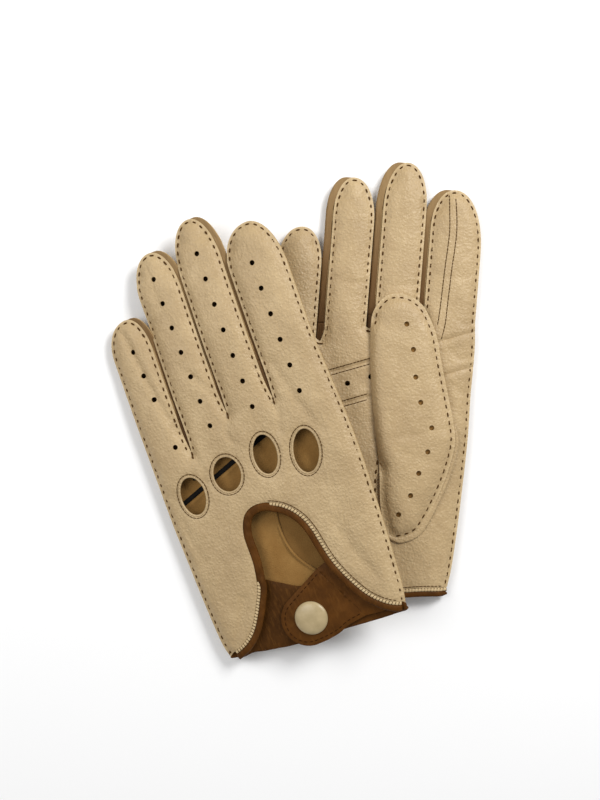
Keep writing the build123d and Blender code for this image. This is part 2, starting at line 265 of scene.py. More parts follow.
def side_edges(side, kind):
    """All sewn edges of one face of a glove. The outer sides and the tips close in further."""
    shift = FACE_SHIFT.get((side, kind), 0.0)
    bands = {}
    for name, (x0, x1, tip_x, tip_y, low, high) in (LEFT_BANDS if side == "left" else RIGHT_BANDS).items():
        left_shift = 0.0 if name == "little" else shift
        right_shift = 0.0 if name == "index" else shift
        tip_shift = 0.0 if (name == "little" and shift < 0) or (name == "index" and shift > 0) else shift
        bands[name] = (x0 + left_shift, x1 + right_shift, tip_x + tip_shift, tip_y, low, high)
    little, index = bands["little"], bands["index"]
    left = smooth(LITTLE_SIDE + [(little[0], 42.0), (little[0], JOIN["little"])])
    right = smooth(THUMB_SIDE + [(index[1] + 0.9, 66.0), (index[1], JOIN["index"])])
    forks, notches, inner, outer = [], [], [], [left, right]
    for a, b, fork_y in zip(NAMES, NAMES[1:], FORK_Y[kind]):
        fork = ((bands[a][1] + bands[b][0]) / 2 + 0.3, fork_y)
        near = fork_line(bands[a][1], JOIN[a], fork, FORK_RISE[kind])
        far = fork_line(bands[b][0], JOIN[b], fork, FORK_RISE[kind])
        forks.append(fork)
        notches.append((near, far))
        inner += [near, far]
    for name in NAMES:
        line = tip_line(bands[name], JOIN[name])
        left_side = line[:, 0] < bands[name][2]
        out = line[:, 1] > bands[name][3] - TIP_REACH
        out |= (left_side & (name == "little")) | (~left_side & (name == "index"))
        outer.append(line[out])
        inner.append(line[~out])
    return {
        "bands": bands, "forks": forks, "left": left, "right": right, "notches": notches,
        "inner": np.vstack(inner), "outer": np.vstack(outer),
    }


EDGES = {(s, k): side_edges(s, k) for s in ("left", "right") for k in ("back", "palm")}


def nearest(points, targets):
    """Distance from each point to the nearest target."""
    out = np.full(len(points), 1e9)
    for i in range(0, len(points), 2000):
        gap = points[i:i + 2000][:, None] - targets[None]
        out[i:i + 2000] = np.linalg.norm(gap, axis=2).min(axis=1)
    return out


def wrinkle(x, y, seed):
    """Slow leather undulation, in millimetres."""
    out = np.empty(len(x))
    for i in range(len(x)):
        a = noise.noise(Vector((x[i] * 0.035, y[i] * 0.022, seed)))
        b = noise.noise(Vector((x[i] * 0.10 + y[i] * 0.03, y[i] * 0.07, seed + 9)))
        c = noise.noise(Vector((x[i] * 0.30, y[i] * 0.22, seed + 21)))
        out[i] = 0.75 * a + 0.38 * b + 0.13 * c
    return out


STITCH_PITCH = 4.4
STITCH_INSET = 1.6
STITCH_DIP, STITCH_DIP_HALF = 0.30, 0.55
EDGE_FLAT = 1.2
CROWN = 4.15
# How much each kind of seam pulls the leather in, and over what distance.
INNER_PULL, INNER_REACH = 2.5, 2.7
OUTER_PULL, OUTER_REACH = 3.3, 3.4
OPENING_PULL, OPENING_REACH = 0.7, 1.6
THINNEST = 0.6
SEEDS = {"back": 3.0, "palm": 40.0, "thumb": 77.0}
# The face the right glove lies on is pressed flat just above the floor.
FLOOR_GAP = 0.25
# Edges of the openings in the back of each glove, filled in as they are cut.
EXTRA_EDGES = {}

# Long soft folds pressed into the leather: points, depth, half width.
FOLDS = {
    ("left", "back"): [
        ([(-41.5, 121.0), (-39.0, 104.0), (-36.6, 88.0), (-33.4, 70.0), (-31.6, 60.0)], 1.3, 1.7),
        ([(-17.4, 152.0), (-16.4, 140.0), (-17.2, 128.0)], 0.5, 1.2),
        ([(-13.4, 89.0), (-9.6, 82.0), (-6.4, 75.0), (-5.0, 66.0)], 0.8, 1.3),
        ([(-1.8, 60.0), (-5.0, 52.0), (-3.0, 46.0)], 0.7, 1.6),
        ([(23.9, 59.0), (25.0, 52.0), (22.0, 44.0)], 0.7, 1.7),
        ([(14.0, 156.0), (18.6, 150.0), (20.0, 142.0)], 0.5, 1.0),
        ([(30.0, 80.0), (33.0, 70.0), (38.0, 52.0), (44.0, 36.0)], 0.6, 2.2),
        ([(-46.0, 30.0), (-44.6, 12.0), (-42.0, -8.0)], 0.6, 2.4),
        ([(34.0, -10.0), (38.0, -26.0), (44.0, -42.0)], 0.7, 3.0),
        ([(-26.9, 46.5), (-24.0, 40.0), (-25.0, 30.0)], 0.5, 1.5),
        ([(-27.0, -34.0), (-33.0, -45.0), (-40.0, -54.0)], 0.8, 2.6),
    ],
    ("right", "palm"): [
        ([(46.0, 84.0), (52.0, 80.0), (57.0, 82.0)], 0.4, 1.0),
        ([(45.0, 66.0), (51.0, 62.0), (58.0, 64.0)], 0.5, 1.1),
        ([(48.0, 48.0), (53.0, 44.0), (58.0, 45.0)], 0.5, 1.0),
        ([(6.0, 100.0), (14.0, 98.5), (24.0, 100.0)], 0.4, 1.0),
        ([(-20.0, 100.0), (-12.0, 98.0), (-4.0, 99.0)], 0.4, 1.0),
        ([(31.0, 108.0), (42.0, 105.0), (55.0, 107.0)], 0.4, 1.0),
    ],
}


def groove(d, half):
    """A rounded dip, 1 on its line and fading over the half width."""
    return np.exp(-(d / half) ** 2)


def pucker(y, d, peak):
    """Small swells between the stitches, strongest at a distance from the seam."""
    return 0.10 * np.sin(y * 2 * math.pi / STITCH_PITCH) * groove(d - peak, 1.8)


def height(side, kind, pts):
    """Half thickness of the glove at flat points, and the distance to the nearest seam."""
    p = np.array(pts, float)[:, :2]
    e = EDGES[(side, kind)]
    d_in = nearest(p, e["inner"])
    d_out = nearest(p, e["outer"])
    d = np.minimum(d_in, d_out)
    h = np.full(len(p), CROWN)
    h -= INNER_PULL * np.exp(-np.maximum(d_in - EDGE_FLAT, 0) / INNER_REACH)
    h -= OUTER_PULL * np.exp(-np.maximum(d_out - EDGE_FLAT, 0) / OUTER_REACH)
    h -= STITCH_DIP * groove(d - STITCH_INSET, STITCH_DIP_HALF)
    h += pucker(p[:, 1], d, 2.8)
    h += wrinkle(p[:, 0], p[:, 1], SEEDS[kind]) * np.clip(d / 7, 0.15, 1)
    for line, depth, half in FOLDS.get((side, kind), []):
        h -= depth * groove(nearest(p, smooth(line, 1.0)), half)
    if (side, kind) in EXTRA_EDGES:
        h -= OPENING_PULL * np.exp(-nearest(p, EXTRA_EDGES[(side, kind)]) / OPENING_REACH)
    if (side, kind) == ("right", "back"):
        h = np.minimum(h, MID - FLOOR_GAP)
    return np.maximum(h, THINNEST), d


def z_of(kind, h):
    return MID + h if kind == "back" else MID - h


def outer_z(side, kind, pts, lift=0.0):
    """The outer face of a glove at flat points, raised by the lift."""
    return z_of(kind, height(side, kind, pts)[0] + lift)


# ---------------------------------------------------------------- mesh helpers
def volume(mesh):
    """Signed volume of a closed mesh, negative when its faces point inwards."""
    mesh.calc_loop_triangles()
    corners = np.empty(len(mesh.loop_triangles) * 3, np.int32)
    mesh.loop_triangles.foreach_get("vertices", corners)
    points = np.empty(len(mesh.vertices) * 3)
    mesh.vertices.foreach_get("co", points)
    a, b, c = np.moveaxis(points.reshape(-1, 3)[corners.reshape(-1, 3)], 1, 0)
    return float(np.einsum("ij,ij->i", a, np.cross(b, c)).sum()) / 6


FAR_FROM_SEAM = 9.0


def make_object(name, verts, faces, flat, materials, face_slots=None, sharp=(), seam=None):
    """A closed mesh facing outwards, which remembers its flat place and its distance to a seam."""
    mesh = bpy.data.meshes.new(name)
    mesh.from_pydata([tuple(v) for v in verts], [], [tuple(int(i) for i in f) for f in faces])
    for m in materials:
        mesh.materials.append(m)
    if face_slots is not None:
        mesh.polygons.foreach_set("material_index", np.array(face_slots, np.int32))
    mesh.polygons.foreach_set("use_smooth", [True] * len(mesh.polygons))
    attr = mesh.attributes.new("flat", "FLOAT_VECTOR", "POINT")
    attr.data.foreach_set("vector", np.array(flat, np.float32).ravel())
    attr = mesh.attributes.new("seam", "FLOAT", "POINT")
    values = np.full(len(verts), FAR_FROM_SEAM) if seam is None else seam
    attr.data.foreach_set("value", np.array(values, np.float32))
    if sharp:
        chosen = {frozenset(edge) for edge in sharp}
        attr = mesh.attributes.new("sharp_edge", "BOOLEAN", "EDGE")
        attr.data.foreach_set("value", [frozenset(e.vertices) in chosen for e in mesh.edges])
    mesh.validate()
    mesh.update()
    if volume(mesh) < 0:
        mesh.flip_normals()
    obj = bpy.data.objects.new(name, mesh)
    bpy.context.scene.collection.objects.link(obj)
    return obj


def inside(points, ring):
    """Even-odd test of points against a closed ring."""
    x, y = points[:, 0][:, None], points[:, 1][:, None]
    ax, ay = ring.T
    bx, by = np.roll(ring, -1, axis=0).T
    cross = (ay > y) != (by > y)
    with np.errstate(divide="ignore", invalid="ignore"):
        at = (bx - ax) * (y - ay) / (by - ay) + ax
    return (cross & (x < at)).sum(axis=1) % 2 == 1


def within(points, rings):
    """Points inside the first ring and outside the others."""
    keep = inside(points, rings[0])
    for ring in rings[1:]:
        keep &= ~inside(points, ring)
    return keep


# Height of a scatter row, clear distance to the border, and random shift, each as a share of the step.
ROW_RISE, BORDER_GAP, JITTER = 0.87, 0.62, 0.12


def triangulate(outline, holes=(), cuts=(), step=1.7):
    """Triangles filling an outline with holes, on an even scatter of points."""
    rings = [np.array(ring, float) for ring in (outline, *holes)]
    low, high = rings[0].min(axis=0), rings[0].max(axis=0)
    rows = []
    y = low[1] + step / 2
    while y < high[1]:
        x = np.arange(low[0] + (step / 2 if len(rows) % 2 else 0), high[0], step)
        rows.append(np.stack([x, np.full(len(x), y)], axis=1))
        y += step * ROW_RISE
    grid = np.vstack(rows)
    grid = grid[within(grid, rings)]
    border = np.vstack(rings + [np.array(c, float) for c in cuts])
    grid = grid[nearest(grid, border) > BORDER_GAP * step]
    jitter = np.random.default_rng(5).uniform(-JITTER, JITTER, grid.shape) * step
    points = [Vector(p) for p in border] + [Vector(p) for p in grid + jitter]
    edges, start = [], 0
    for line, closing in [(ring, 0) for ring in rings] + [(cut, 1) for cut in cuts]:
        n = len(line)
        edges += [(start + i, start + (i + 1) % n) for i in range(n - closing)]
        start += n
    verts, _, faces, *_ = delaunay_2d_cdt(points, edges, [], 0, 1e-4)
    verts = np.array([tuple(v) for v in verts], float)
    faces = np.array([tuple(f) for f in faces if len(f) == 3])
    faces = faces[within(verts[faces].mean(axis=1), rings)]
    a, b, c = verts[faces[:, 0]], verts[faces[:, 1]], verts[faces[:, 2]]
    area = (b[:, 0] - a[:, 0]) * (c[:, 1] - a[:, 1]) - (b[:, 1] - a[:, 1]) * (c[:, 0] - a[:, 0])
    faces[area < 0] = faces[area < 0][:, ::-1]
    return verts, faces[np.abs(area) > 1e-7]


def piece(name, side, part, faces, flat, materials, slot=None, nodes=(), **mesh):
    """A named piece of one glove: laid in the world, riding its body when its part is the hand or the strap,
    standing for its CAD nodes.
    """
    finger = part if part in NAMES else None
    obj = make_object(side + "_" + name, lay(side, flat, finger), faces, flat, materials, **mesh)
    rig(obj, side, part, nodes)


def thick_sheet(name, side, part, verts2, faces, z_out, z_in, materials, slot, nodes, seam=None):
    """A closed leather sheet: outer face, flesh face and cut edge."""
    used = np.unique(faces)
    index = np.full(len(verts2), -1)
    index[used] = np.arange(len(used))
    faces = index[faces]
    n = len(used)
    flat = np.vstack([np.column_stack([verts2[used], z[used]]) for z in (z_out, z_in)])
    edges = {}
    for f in faces:
        for a, b in ((f[0], f[1]), (f[1], f[2]), (f[2], f[0])):
            edges[(a, b)] = True
    rim = [(a, b) for a, b in edges if (b, a) not in edges]
    walls = [(a, a + n, b + n, b) for a, b in rim]
    slots = [0] * len(faces) + [1] * len(faces) + [2] * len(walls)
    sharp = rim + [(a + n, b + n) for a, b in rim]
    seam = None if seam is None else np.tile(seam[used], 2)
    faces = [*faces, *(faces[:, ::-1] + n), *walls]
    piece(name, side, part, faces, flat, materials, slot, nodes, face_slots=slots, sharp=sharp, seam=seam)


def tube_faces(rings, around, closed=False):
    """Faces of a tube whose rings of points follow each other, capped when it is open."""
    faces = []
    for i in range(rings if closed else rings - 1):
        j = (i + 1) % rings
        for k in range(around):
            q = (k + 1) % around
            faces.append((i * around + k, i * around + q, j * around + q, j * around + k))
    if not closed:
        faces.append(tuple(range(around))[::-1])
        faces.append(tuple((rings - 1) * around + k for k in range(around)))
    return faces


def round_profile(half_width, low, high, count):
    """A rounded strip section, as deep below its path as low and as tall above it as high."""
    t = np.linspace(0, 2 * math.pi, count, endpoint=False)
    u = half_width * np.sign(np.cos(t)) * np.abs(np.cos(t)) ** 0.7
    w = np.where(np.sin(t) > 0, high, -low) * np.abs(np.sin(t)) ** 0.8
    return list(zip(-u, w))


def strip(name, side, part, line, z, profile, material, slot=None, nodes=(), closed=False, scale=None):
    """A rounded strip of one material along a flat line at the given heights."""
    n = normals(np.vstack([line[-1:], line, line[:1]]))[1:-1] if closed else normals(line)
    scale = np.ones(len(line)) if scale is None else scale
    profile = round_profile(*profile)
    flat = []
    for (x, y), h, (nx, ny), s in zip(line, z, n, scale):
        flat += [(x + nx * u * s, y + ny * u * s, h + w) for u, w in profile]
    faces = tube_faces(len(line), len(profile), closed)
    piece(name, side, part, faces, np.array(flat), [material], slot, nodes)


DASH_RINGS, DASH_AROUND = 5, 7
DASH_END = 0.45


def dash_shape():
    """Points of one rounded dash, one unit long and round each way from its middle."""
    shape = []
    for i in range(DASH_RINGS):
        t = -1 + 2 * i / (DASH_RINGS - 1)
        r = math.sqrt(max(1 - t ** 4, 0)) if 0 < i < DASH_RINGS - 1 else DASH_END
        for k in range(DASH_AROUND):
            a = 2 * math.pi * k / DASH_AROUND
            shape.append((t, r * math.cos(a), r * math.sin(a)))
    return np.array(shape)


def stitches(name, side, part, dashes, material, size=(1.12, 0.50, 0.42)):
    """Many small rounded thread dashes on one part. Each is (x, y, z, angle, length scale)."""
    shape = dash_shape()
    one = tube_faces(DASH_RINGS, DASH_AROUND)
    flat, faces = [], []
    for x, y, z, angle, long in dashes:
        c, s = math.cos(angle), math.sin(angle)
        u, v, w = (shape * size * (long, 1, 1)).T
        start = len(flat) * len(shape)
        flat.append(np.stack([x + u * c - v * s, y + u * s + v * c, z + w], axis=1))
        faces += [tuple(i + start for i in f) for f in one]
    piece(name + "_thread", side, part, faces, np.vstack(flat), [material])


# ---------------------------------------------------------------- materials
def linear(rgb):
    """A display colour (0 to 255) as the renderer's linear colour."""
    out = []
    for c in rgb:
        c = c / 255
        out.append(c / 12.92 if c <= 0.04045 else ((c + 0.055) / 1.055) ** 2.4)
    return tuple(out) + (1.0,)


class Nodes:
    """Small helper that adds and links shader nodes."""

    def __init__(self, name):
        self.mat = bpy.data.materials.new(name)
        self.mat.use_nodes = True
        self.tree = self.mat.node_tree
        self.bsdf = next(n for n in self.tree.nodes if n.type == "BSDF_PRINCIPLED")
        self.flat = self.attribute("flat", "Vector")

    def attribute(self, name, output):
        return self.add("ShaderNodeAttribute", attribute_name=name).outputs[output]

    def add(self, kind, **values):
        node = self.tree.nodes.new(kind)
        for key, value in values.items():
            setattr(node, key, value)
        return node

    def put(self, value, socket):
        """Set a socket to a number or a colour, or link it to another node."""
        if isinstance(value, (int, float, tuple)):
            socket.default_value = value
        else:
            self.tree.links.new(value, socket)

    def fill(self, node, **values):
        """Put values on a node's inputs, named with an underscore for each space."""
        for key, value in values.items():
            self.put(value, node.inputs[key.replace("_", " ")])
        return node

    def noise(self, scale, detail=3.0, rough=0.55, vector=None, distortion=0.0):
        n = self.add("ShaderNodeTexNoise")
        self.fill(n, Scale=scale, Detail=detail, Roughness=rough, Distortion=distortion)
        return self.fill(n, Vector=vector or self.flat).outputs["Fac"]

    def stretch(self, scale, turn=0.0):
        m = self.add("ShaderNodeMapping")
        return self.fill(m, Scale=scale, Rotation=(0, 0, turn), Vector=self.flat).outputs["Vector"]

    def cells(self, scale):
        n = self.add("ShaderNodeTexVoronoi", feature="SMOOTH_F1")
        return self.fill(n, Scale=scale, Smoothness=0.6, Vector=self.flat).outputs["Distance"]

    def places(self):
        """The flat x and y of the leather."""
        split = self.fill(self.add("ShaderNodeSeparateXYZ"), Vector=self.flat)
        return split.outputs[0], split.outputs[1]

    def crease(self, scale, stretch, turn, distortion):
        """Thin branching lines: 0 in a crease, 1 beside it."""
        fac = self.noise(scale, 5, 0.6, self.stretch(stretch, turn), distortion)
        off = self.math("ABSOLUTE", self.math("SUBTRACT", fac, 0.5), 0.0)
        return self.times(off, 10.0, True)

    def ramp(self, fac, stops):
        r = self.add("ShaderNodeValToRGB")
        elements = r.color_ramp.elements
        while len(elements) < len(stops):
            elements.new(0.5)
        for element, (at, rgb) in zip(elements, stops):
            element.position = at
            element.color = linear(rgb)
        return self.fill(r, Fac=fac).outputs["Color"]

    def tones(self, fac, low, high):
        """Two colours drifting into each other."""
        return self.ramp(fac, [(0.3, low), (0.7, high)])

    def math(self, op, a, b, clamp=False):
        m = self.add("ShaderNodeMath", operation=op, use_clamp=clamp)
        self.put(a, m.inputs[0])
        self.put(b, m.inputs[1])
        return m.outputs[0]

    def times(self, a, b, clamp=False):
        return self.math("MULTIPLY", a, b, clamp)

    def mix(self, fac, a, b):
        m = self.add("ShaderNodeMix", data_type="RGBA", blend_type="MIX")
        for number, value in ((0, fac), (6, a), (7, b)):
            self.put(value, m.inputs[number])
        return m.outputs[2]

    def tint(self, base, fac, amount, rgb):
        """The base with a share of another colour where fac is high."""
        return self.mix(self.times(fac, amount), base, linear(rgb))

    def bump(self, *heights):
        """Raise the surface by several patterns, each with its strength and depth in millimetres."""
        last = None
        for value, strength, depth in heights:
            b = self.fill(self.add("ShaderNodeBump"), Strength=strength, Distance=depth * MM, Height=value)
            if last is not None:
                self.fill(b, Normal=last)
            last = b.outputs["Normal"]
        self.fill(self.bsdf, Normal=last)

    def finish(self, colour, rough, sheen=0.0, coat=0.0, metal=0.0, shine=0.2):
        self.fill(self.bsdf, Base_Color=colour, Roughness=rough, Metallic=metal)
        self.fill(self.bsdf, Sheen_Weight=sheen, Sheen_Roughness=0.45)
        self.fill(self.bsdf, Coat_Weight=coat, Coat_Roughness=0.25, Specular_IOR_Level=shine)
        return self.mat


SEAM_X, SEAM_BEND, SEAM_BEND_Y = 2.7, 0.0155, 6.0
SEAM_TOP_Y = 12.0
# Where the painted shade of the fourchettes is darkest, and over what run it lightens.
FOURCHETTE_DARK_Y, FOURCHETTE_RUN = 62.0, 90.0
# How far from the seams the painted highlight on the cream leather reaches, in millimetres.
SEAM_HIGHLIGHT_REACH = 1.5


def cream_leather():
    """Soft deerskin: rounded pebble and thin branching creases, with painted shade in the creases and between
    the pebbles, and paler near the seams as a painted highlight.
    """
    n = Nodes("cream_leather")
    drift = n.noise(0.045, 3, 0.6)
    patch = n.noise(0.13, 4, 0.6)
    pebble = n.cells(0.70)
    pores = n.noise(1.6, 3, 0.6)
    across = n.crease(0.30, (0.45, 1.0, 0.6), 0.2, 1.4)
    along = n.crease(0.22, (1.0, 0.36, 0.6), -0.15, 1.1)
    base = n.ramp(drift, [(0.3, (176, 151, 112)), (0.52, (187, 162, 121)), (0.72, (198, 173, 131))])
    base = n.tint(base, patch, 0.30, (160, 134, 95))
    # Painted shade: darker colour along the thin creases, where the bump sinks them.
    lines = n.math("SUBTRACT", 1.0, n.times(across, along), True)
    base = n.tint(base, lines, 0.14, (146, 117, 78))
    # Painted shade: darker colour at the cell borders, in the hollows between the raised pebbles.
    pebble_shade = n.times(n.math("SUBTRACT", pebble, 0.45, True), 0.5, True)
    base = n.mix(pebble_shade, base, linear((150, 122, 84)))
    # Painted highlight: paler colour within a short distance of the seams.
    edge = n.math("SUBTRACT", 1.0, n.math("DIVIDE", n.attribute("seam", "Fac"), SEAM_HIGHLIGHT_REACH, True), True)
    base = n.tint(base, edge, 0.35, (214, 190, 146))
    rough = n.math("ADD", n.times(patch, 0.14), 0.36)
    lumps = n.math("SUBTRACT", 0.60, pebble, True)
    fine = (lumps, 0.70, 0.45), (pores, 0.10, 0.12)
    n.bump(*fine, (across, 0.24, 0.25), (along, 0.28, 0.30), (patch, 0.3, 1.2))
    return n.finish(base, rough, shine=0.4)


def shaded_fourchette_leather():
    """The strips between the fingers: the cream leather with painted shade, darkest toward the forks."""
    n = Nodes("cream_fourchette_painted_shade")
    folds = n.noise(0.5, 4, 0.6, n.stretch((1.0, 0.25, 1.0)), 0.6)
    run = n.math("DIVIDE", n.math("SUBTRACT", n.places()[1], FOURCHETTE_DARK_Y), FOURCHETTE_RUN, True)
    # Painted shade: dark near the forks, deep between the fingers, lighter toward the tips.
    base = n.ramp(run, [(0.0, (74, 50, 28)), (0.45, (112, 84, 52)), (1.0, (158, 130, 90))])
    base = n.tint(base, folds, 0.5, (92, 66, 38))
    n.bump((folds, 0.7, 0.8))
    return n.finish(base, 0.7, shine=0.1)


def plain_leather(name, scale, detail, low, high, bump, rough):
    """Leather in two tones, without its grain."""
    n = Nodes(name)
    fibre = n.noise(scale, 3, detail)
    n.bump((fibre, bump, 0.3))
    return n.finish(n.tones(fibre, low, high), rough)


def tan_suede():
    """Napped flesh side seen through the openings, darker beyond the thumb seam."""
    n = Nodes("tan_suede")
    nap = n.noise(1.2, 5, 0.75)
    brush = n.noise(0.9, 4, 0.7, n.stretch((0.5, 1.8, 1.0), -0.4))
    base = n.tones(n.noise(0.08, 3, 0.6), (140, 103, 55), (162, 124, 71))
    x, y = n.places()
    low = n.math("ADD", y, SEAM_BEND_Y)
    seam_x = n.math("ADD", n.times(n.times(low, low), SEAM_BEND), SEAM_X)
    beyond = n.times(n.math("SUBTRACT", x, seam_x), 1.5, True)
    below = n.times(n.math("SUBTRACT", SEAM_TOP_Y, y), 0.5, True)
    base = n.tint(base, n.times(beyond, below), 0.55, (104, 74, 38))
    base = n.tint(base, nap, 0.45, (122, 88, 46))
    n.bump((nap, 0.6, 0.35), (brush, 0.4, 0.5))
    return n.finish(base, 0.95, sheen=0.1, shine=0.05)


def brown_leather(name="brown_leather", light=1.0):
    """Smooth cognac leather with fine grain and worn high spots."""
    n = Nodes(name)
    grain = n.cells(1.6)
    fine = n.noise(2.8, 3, 0.6)
    streak = n.noise(0.5, 4, 0.6, n.stretch((1.6, 0.4, 1.0), 0.3))
    low, high = ([c * light for c in rgb] for rgb in ((68, 39, 9), (90, 54, 17)))
    base = n.tones(n.noise(0.10, 3, 0.6), low, high)
    worn = n.times(n.math("SUBTRACT", streak, 0.5, True), 1.6, True)
    base = n.mix(worn, base, linear((112, 73, 29)))
    rough = n.math("ADD", n.times(fine, 0.22), 0.42)
    n.bump((grain, -0.35, 0.25), (fine, 0.25, 0.2), (streak, 0.4, 0.6))
    return n.finish(base, rough, shine=0.08)


def thread(name, rgb):
    """Waxed thread with a fine twist."""
    n = Nodes(name)
    twist = n.noise(4.0, 2, 0.5)
    n.bump((twist, 0.5, 0.2))
    return n.finish(n.tint(linear(rgb), twist, 0.5, [c * 0.6 for c in rgb]), 0.8, shine=0.05)


def black_tape():
    """Ribbed black elastic."""
    n = Nodes("black_tape")
    wave = n.add("ShaderNodeTexWave", wave_type="BANDS", bands_direction="Y")
    n.fill(wave, Scale=0.5, Distortion=0.4, Vector=n.flat)
    weave = n.noise(2.5, 3, 0.6)
    n.bump((wave.outputs["Fac"], 0.4, 0.3), (weave, 0.6, 0.4))
    return n.finish(n.tones(weave, (12, 10, 8), (28, 25, 22)), 0.9)


def cap_lacquer():
    """Cream lacquer over the pressed cap, slightly orange-peeled."""
    n = Nodes("cap_lacquer")
    n.bump((n.noise(0.9, 2, 0.5), 0.15, 0.3))
    base = n.tones(n.noise(0.2, 2, 0.5), (164, 145, 106), (182, 162, 122))
    return n.finish(base, 0.38, coat=0.12, shine=0.5)


def brass():
    """Press-stud metal."""
    n = Nodes("brass")
    scratch = n.noise(2.0, 3, 0.6)
    n.bump((scratch, 0.1, 0.1))
    return n.finish(linear((190, 150, 84)), n.math("ADD", n.times(scratch, 0.2), 0.22), metal=1.0, shine=0.5)


CREAM, FOURCHETTE, SUEDE = cream_leather(), shaded_fourchette_leather(), tan_suede()
# The cut edge of the cream leather, and the same leather stretched pale over the turned rims.
EDGE = plain_leather("cream_edge", 2.4, 0.7, (160, 132, 90), (190, 163, 118), 0.5, 0.85)
RIM = plain_leather("cream_rim", 0.5, 0.6, (186, 161, 120), (206, 183, 142), 0.3, 0.5)
BROWN, BROWN_DARK = brown_leather(), brown_leather("brown_flap", 0.86)
THREAD, FINE_THREAD = thread("thread_brown", (84, 56, 24)), thread("thread_dark", (88, 60, 26))
STRAP_THREAD = thread("thread_strap", (52, 26, 6))
TAPE, CAP, BRASS = black_tape(), cap_lacquer(), brass()
SHEET_MATERIALS = [CREAM, SUEDE, EDGE]
STRAP_MATERIALS = [BROWN, BROWN_DARK, BROWN_DARK]


# ---------------------------------------------------------------- hand panels
BAND_SLOPE = math.radians(20.3)
BAND_CENTRE = 46.5
BAND_HALF = 9.0
BAND_HOLE = (-8.6, 44.2)
BAND_HOLE_PITCH = 13.0
THUMB_OPENING = (31.0, 7.0, 10.0, 10.0)


def palm_hem(side, step):
    """The wrist edge of the palm."""
    return smooth(list(zip(HEM_X, HEM_Y[side])), step)


def hand_outline(side, kind):
    """Outline of the hand of one face, with the finger roots up to the join lines."""
    e = EDGES[(side, kind)]
    line = [e["left"][:-1]]
    for i, name in enumerate(NAMES):
        x0, x1 = e["bands"][name][:2]
        line.append(resample([(x0, JOIN[name]), (x1, JOIN[name])], 1.5)[:-1])
        if i < len(e["notches"]):
            near, far = e["notches"][i]
            line += [near[:-1], far[::-1][:-1]]
    hem = smooth(KEYHOLE, 1.1) if kind == "back" else palm_hem(side, 1.4)
    return np.vstack(line + [e["right"][::-1], hem[::-1][1:-1]])[::-1]


def band_line(offset, x0=-60, x1=62):
    """A line across the palm beside the perforated band."""
    middle = BAND_CENTRE + offset / math.cos(BAND_SLOPE)
    return [(x, middle + math.tan(BAND_SLOPE) * x) for x in (x0, x1)]


def band_place(points):
    """Distance above the centre line of the palm band."""
    return (points[:, 1] - BAND_CENTRE - math.tan(BAND_SLOPE) * points[:, 0]) * math.cos(BAND_SLOPE)


def clip_to(line, ring):
    """The part of a line inside a ring."""
    dense = resample(line, 1.3)
    return dense[inside(dense, ring) & (nearest(dense, ring) > 0.5)]


def leather(name, side, kind, part, verts, faces, nodes, h, d):
    """Sew one piece of cream leather to the outside of one face of a glove."""
    z = z_of(kind, h)
    z_in = z - LEATHER if kind == "back" else z + LEATHER
    name += "_leather"
    thick_sheet(name, side, part, verts, faces, z, z_in, SHEET_MATERIALS, "cream_leather", nodes, d)


def hand_back(side):
    """The back of the hand, with the knuckle openings and the lowest small holes."""
    knuckles = [ellipse(*k) for k in KNUCKLES]
    holes = list(knuckles)
    for name in NAMES:
        holes += [small_hole(x, y) for x, y in row_points(name, side) if y < JOIN[name] - 2]
    EXTRA_EDGES[(side, "back")] = np.vstack([smooth(KEYHOLE)] + knuckles)
    verts, faces = triangulate(hand_outline(side, "back"), holes)
    h, d = height(side, "back", verts)
    leather("back", side, "back", "hand", verts, faces, ("hand_back", "hand_seam"), h, d)


def hand_palm(side):
    """The palm in three pieces, with the perforated band across it."""
    outline = hand_outline(side, "palm")
    holes = [ellipse(*THUMB_OPENING)]
    for i in range(-2, 2):
        x = BAND_HOLE[0] + BAND_HOLE_PITCH * math.cos(BAND_SLOPE) * i
        y = BAND_HOLE[1] + BAND_HOLE_PITCH * math.sin(BAND_SLOPE) * i
        holes.append(small_hole(x, y))
    cuts = [clip_to(band_line(offset), outline) for offset in (-BAND_HALF, BAND_HALF)]
    verts, faces = triangulate(outline, holes, cuts)
    h, d = height(side, "palm", verts)
    for offset in (-BAND_HALF, BAND_HALF):
        from_cut = np.abs(band_place(verts) - offset)
        h -= 0.55 * groove(from_cut, 0.9)
        h += 0.22 * groove(from_cut - 2.6, 1.2)
    across = band_place(verts[faces].mean(axis=1))
    groups = {"heel": across < -BAND_HALF, "band": np.abs(across) <= BAND_HALF, "top": across > BAND_HALF}
    for label, chosen in groups.items():
        name = "palm_" + label
        leather(name, side, "palm", "hand", verts, faces[chosen], [name], h, d)


def finger_panel(side, kind, name):
    """One face of a finger, bending from the hand."""
    band = EDGES[(side, kind)]["bands"][name]
    start = JOIN[name]
    base = resample([(band[1], start), (band[0], start)], 1.5)[1:-1]
    outline = np.vstack([tip_line(band, start), base])[::-1]
    holes = []
    if kind == "back":
        holes = [small_hole(x, y) for x, y in row_points(name, side) if y > start + 2]
    verts, faces = triangulate(outline, holes)
    label = name + "_" + LABEL[kind]
    leather(label, side, kind, name, verts, faces, [label], *height(side, kind, verts))


WALL_ROWS = 6
WALL_BOW = 1.2
WALL_THICK = 0.6


def wall_grid(side, lines, bow):
    """Ruled strip from the inside of the back to the inside of the palm, bowed sideways."""
    top, low = (np.column_stack([line, outer_z(side, kind, line, -LEATHER)]) for kind, line in lines.items())
    rows = []
    for t in np.linspace(0, 1, WALL_ROWS + 1):
        row = top * (1 - t) + low * t
        row[:, 0] += bow * math.sin(math.pi * t)
        rows.append(row)
    return np.array(rows)


